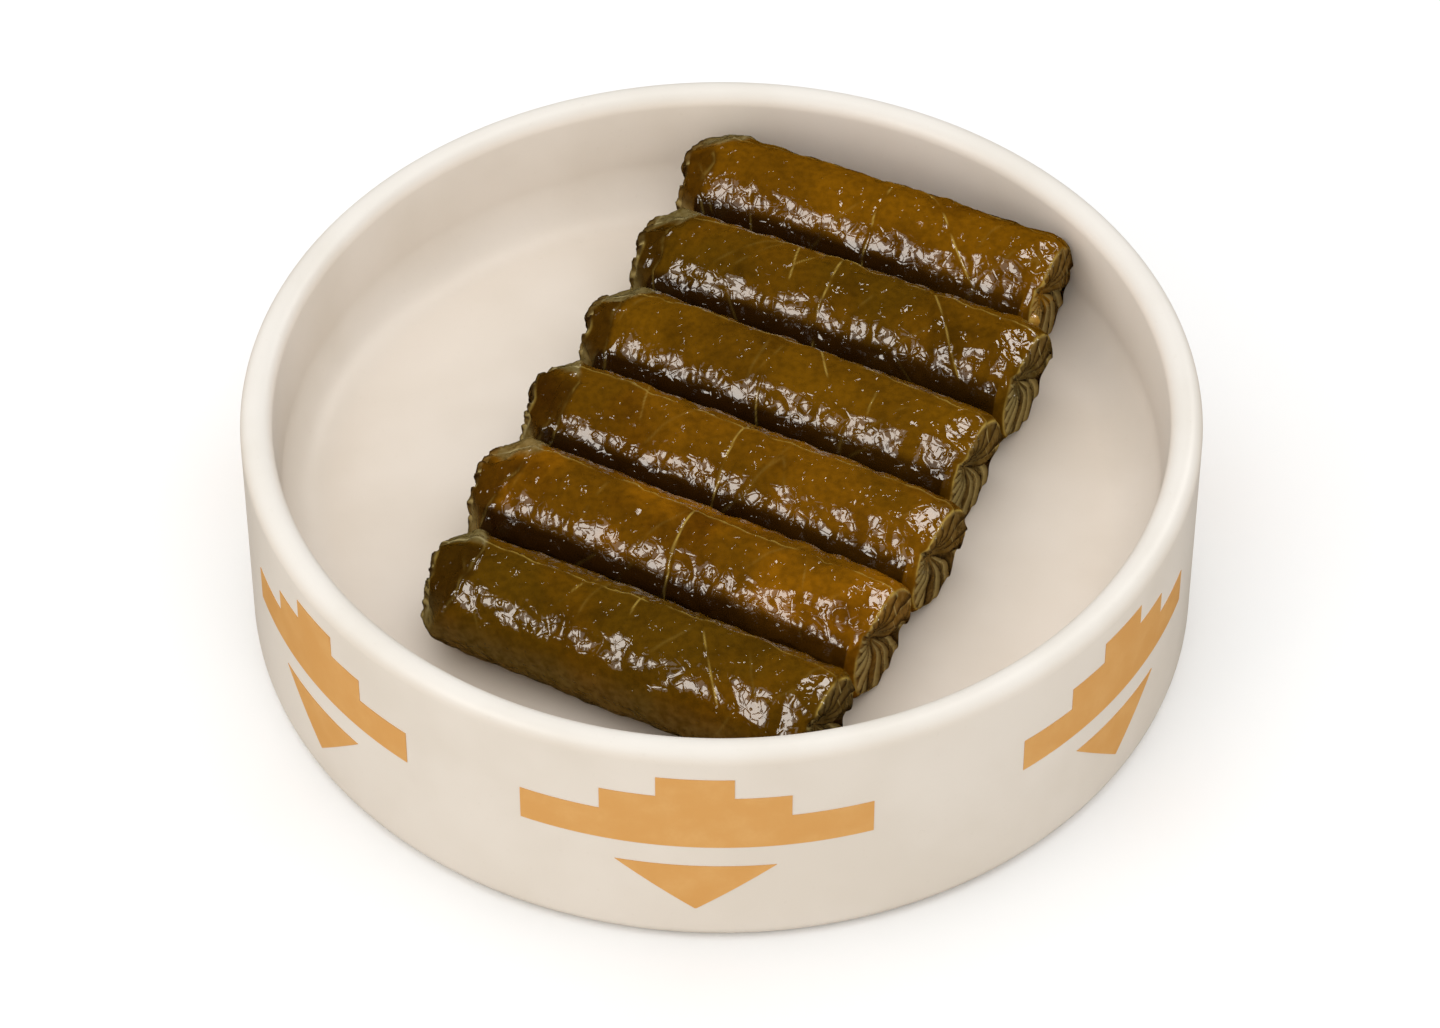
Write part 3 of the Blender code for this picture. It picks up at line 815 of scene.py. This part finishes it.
def leaf_material(name, olive, gold, brown):
    """Cooked vine leaf under oil: three tones in patches, pale veins and edges, wet gloss.

    The marks colour each point: red its lines, green its underside, blue a tear, alpha 1 less its
    painted shade. Red and green also carry painted reflections on the back and front rolls.
    """
    made, tree, shader, place = new_material(name)
    marks = tree.nodes.new("ShaderNodeAttribute")
    marks.attribute_name = "marks"
    parts = tree.nodes.new("ShaderNodeSeparateColor")
    tree.links.new(marks.outputs["Color"], parts.inputs[0])
    apart = tree.nodes.new("ShaderNodeSeparateXYZ")
    tree.links.new(place, apart.inputs[0])
    golder = spread(tree, apart.outputs["X"], GOLDER_FROM, GOLDER_TO, -GOLDER_BY, GOLDER_BY)
    tone = tree.nodes.new("ShaderNodeMath")
    tree.links.new(noise(tree, place, PATCH_SIZE, 4.0), tone.inputs[0])
    tree.links.new(golder, tone.inputs[1])
    patch = spread(tree, tone.outputs[0], 0.40, 0.62)
    stain = spread(tree, noise(tree, place, STAIN_SIZE, 6.0), 0.46, 0.78, 0.0, 0.85)
    fleck = spread(tree, noise(tree, place, FLECK_SIZE, 4.0), 0.25, 0.70)
    body = mixed(tree, patch, olive, gold)
    body = mixed(tree, stain, body, brown)
    dimmed = mixed(tree, FLECK_DEPTH, body, (0.0, 0.0, 0.0))
    body = mixed(tree, fleck, dimmed, body)
    under = mixed(tree, fleck, *UNDERSIDE)
    # Green is the pale underside, and low on the front roll a painted reflection of the bowl's floor
    body = mixed(tree, parts.outputs["Green"], body, under)
    body = mixed(tree, parts.outputs["Blue"], body, TORN)
    # Painted shade: alpha darkens flanks, creases and folds towards this tone
    body = mixed(tree, marks.outputs["Alpha"], PAINTED_SHADE_TONE, body)
    pale = mixed(tree, parts.outputs["Green"], *VEIN_TONES)
    # Red also carries a painted reflection along the back roll's far edge
    body = mixed(tree, parts.outputs["Red"], body, pale)
    tree.links.new(body, shader.inputs["Base Color"])
    shader.inputs["Roughness"].default_value = LEAF_ROUGHNESS
    shader.inputs["Specular IOR Level"].default_value = 0.0
    shader.inputs["Coat Weight"].default_value = 1.0
    shader.inputs["Coat Roughness"].default_value = OIL_ROUGHNESS
    shader.inputs["Coat IOR"].default_value = OIL_IOR
    web = tree.nodes.new("ShaderNodeTexVoronoi")
    web.feature = "DISTANCE_TO_EDGE"
    web.inputs["Scale"].default_value = 1.0 / WEB_SIZE
    tree.links.new(place, web.inputs["Vector"])
    cells = spread(tree, web.outputs["Distance"], 0.0, 0.12)
    grit = spread(tree, noise(tree, place, GRIT_SIZE, 1.0), 0.60, 0.74)
    skin = bumped(tree, noise(tree, place, SKIN_SIZE, 2.0), SKIN_DEPTH)
    oil = bumped(tree, cells, WEB_DEPTH, skin)
    oil = bumped(tree, grit, GRIT_DEPTH, oil)
    tree.links.new(skin, shader.inputs["Normal"])
    tree.links.new(oil, shader.inputs["Coat Normal"])
    return made


# Olive, gold and brown of each leaf, from the front roll to the back one
LEAF_TONES = (
    ((0.100, 0.046, 0.0020), (0.135, 0.055, 0.0016), (0.062, 0.027, 0.0012)),
    ((0.140, 0.056, 0.0018), (0.250, 0.094, 0.0022), (0.080, 0.027, 0.0010)),
    ((0.125, 0.052, 0.0018), (0.185, 0.073, 0.0022), (0.078, 0.027, 0.0010)),
    ((0.120, 0.050, 0.0018), (0.165, 0.069, 0.0020), (0.066, 0.026, 0.0010)),
    ((0.105, 0.047, 0.0018), (0.140, 0.057, 0.0018), (0.060, 0.025, 0.0010)),
    ((0.150, 0.059, 0.0016), (0.200, 0.078, 0.0018), (0.078, 0.027, 0.0010)),
)
for index in range(len(ROLLS)):
    points, marks = leaf_roll(index)
    roll_piece = closed_skin(f"leaf_roll_{index + 1}", points)
    kept = np.concatenate([marks[0, :1], marks[1:-1].reshape(-1, 4), marks[-1, :1]])
    painted = roll_piece.data.color_attributes.new("marks", "FLOAT_COLOR", "POINT")
    painted.data.foreach_set("color", kept.ravel())
    roll_piece.data.materials.append(leaf_material(f"leaf_{index + 1}", *LEAF_TONES[index]))
    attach(roll_piece, "root")
    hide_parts(f"roll_{index + 1}")


# One swollen grain of the filling pokes out of a small tear in the back roll's right end. It is
# cooked rice, plump and amber with oil.
GRAIN_SIZE = np.array([1.9, 1.3, 1.6])
GRAIN_ANGLE = 168.0
GRAIN_REACH = 0.78
AMBER = ((0.42, 0.20, 0.02), (0.62, 0.36, 0.06))


def grain_rings():
    """An ellipsoid: size * (cos a, sin a cos b, sin a sin b), with a faint dent along it."""
    a = np.linspace(0.0, np.pi, 24)[:, None]
    b = np.linspace(0.0, 2.0 * np.pi, 32, endpoint=False)
    dent = 1.0 - 0.08 * bell(angle_between(np.degrees(b), 90.0), 25.0)
    shape = [np.cos(a) + 0.0 * b, np.sin(a) * np.cos(b) * dent, np.sin(a) * np.sin(b) * dent]
    return np.stack(shape, axis=-1) * GRAIN_SIZE


back_roll = ROLLS[-1]
grain_turn = np.radians(GRAIN_ANGLE)
grain_reach = GRAIN_REACH * back_roll.width / 2
axis, across, middle = frame_of(len(ROLLS) - 1)
grain_points = grain_rings() + (
    back_roll.length / 2 - RIGHT_END.edge / 2,
    grain_reach * np.cos(grain_turn),
    grain_reach * np.sin(grain_turn),
)
grain_world = middle + grain_points[..., :1] * axis + grain_points[..., 1:2] * across
grain_world[..., 2] += grain_points[..., 2]
grain = closed_skin("filling_grain", grain_world * MM)
amber, amber_tree, amber_shader, amber_place = new_material("amber_grain")
amber_tone = spread(amber_tree, noise(amber_tree, amber_place, 1.5 * MM), 0.3, 0.7)
amber_tree.links.new(
    mixed(amber_tree, amber_tone, *AMBER),
    amber_shader.inputs["Base Color"],
)
amber_shader.inputs["Roughness"].default_value = 0.25
amber_shader.inputs["Coat Weight"].default_value = 0.6
grain.data.materials.append(amber)
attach(grain, "root")
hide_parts("roll_6")


# The stage is a plain white surface under an even pale sky, with a wide soft light overhead. To
# the left of the viewer a small bright light and a larger dim one make the wet highlights. Two
# more do so on the right rims and from behind.
SKY = (0.98, 0.99, 1.0)
SKY_STRENGTH = 0.90
STAGE_WHITE = (0.97, 0.97, 0.965)
STAGE_SIZE = 6.0
LIGHT_AIM = Vector((0.0, 0.0, 0.03))
OVERHEAD_AT = (-0.05, -0.30, 1.75)
OVERHEAD_SIZE = 1.7
OVERHEAD_POWER = 8.0
SPARK_AT = (-0.62, -0.49, 0.62)
SPARK_SIZE = 0.30
SPARK_POWER = 3.2
SHEEN_SIZE = 0.52
SHEEN_POWER = 1.2
RIM_AT = (0.32, 0.20, 1.06)
RIM_SIZE = 0.26
RIM_POWER = 2.6
BACK_AT = (0.62, 0.49, 0.62)
GLOSS_COLOUR = (1.0, 0.95, 0.88)

stage_mesh = bpy.data.meshes.new("stage_floor")
corner = STAGE_SIZE / 2
stage_mesh.from_pydata(
    [(-corner, -corner, 0.0), (corner, -corner, 0.0), (corner, corner, 0.0), (-corner, corner, 0.0)],
    [],
    [(0, 1, 2, 3)],
)
stage = bpy.data.objects.new("stage_floor", stage_mesh)
bpy.context.scene.collection.objects.link(stage)
stage_material = bpy.data.materials.new("stage_white")
stage_material.use_nodes = True
stage_shader = stage_material.node_tree.nodes["Principled BSDF"]
stage_shader.inputs["Base Color"].default_value = (*STAGE_WHITE, 1.0)
stage_shader.inputs["Roughness"].default_value = 1.0
stage_shader.inputs["Specular IOR Level"].default_value = 0.0
stage_mesh.materials.append(stage_material)
stage.visible_glossy = False

sky = bpy.data.worlds.new("pale_sky")
sky.use_nodes = True
sky.node_tree.nodes["Background"].inputs["Color"].default_value = (*SKY, 1.0)
sky.node_tree.nodes["Background"].inputs["Strength"].default_value = SKY_STRENGTH
sky.cycles_visibility.glossy = False
bpy.context.scene.world = sky


def soft_light(name, place, size, power, in_gloss, in_colour=True):
    """Add a square area light that faces the bowl, for gloss, for colour or both: its data."""
    data = bpy.data.lights.new(name, "AREA")
    data.size = size
    data.energy = power
    made = bpy.data.objects.new(name, data)
    made.location = place
    aim = LIGHT_AIM - Vector(place)
    made.rotation_euler = aim.to_track_quat("-Z", "Y").to_euler()
    made.visible_glossy = in_gloss
    made.visible_diffuse = in_colour
    bpy.context.scene.collection.objects.link(made)
    return data


soft_light("overhead", OVERHEAD_AT, OVERHEAD_SIZE, OVERHEAD_POWER, False)
soft_light("spark", SPARK_AT, SPARK_SIZE, SPARK_POWER, True, False).color = GLOSS_COLOUR
soft_light("sheen", SPARK_AT, SHEEN_SIZE, SHEEN_POWER, True).color = GLOSS_COLOUR
soft_light("rim_spark", RIM_AT, RIM_SIZE, RIM_POWER, True, False).color = GLOSS_COLOUR
soft_light("back_spark", BACK_AT, SPARK_SIZE, SPARK_POWER, True, False).color = GLOSS_COLOUR


# The camera looks down on the bowl from the front, at 46 degrees.
CAMERA_AT = (-0.00025, -0.6952, 0.7371)
CAMERA_AIM = Vector((-0.00025, -0.00324, 0.02075))
CAMERA_LENS = 142.1

camera_data = bpy.data.cameras.new("camera")
camera_data.sensor_width = 36.0
camera_data.lens = CAMERA_LENS
camera_data.clip_end = 20.0
camera = bpy.data.objects.new("camera", camera_data)
camera.location = CAMERA_AT
camera.rotation_euler = (CAMERA_AIM - camera.location).to_track_quat("-Z", "Y").to_euler()
bpy.context.scene.collection.objects.link(camera)
bpy.context.scene.camera = camera
bpy.context.scene.view_settings.view_transform = "Standard"
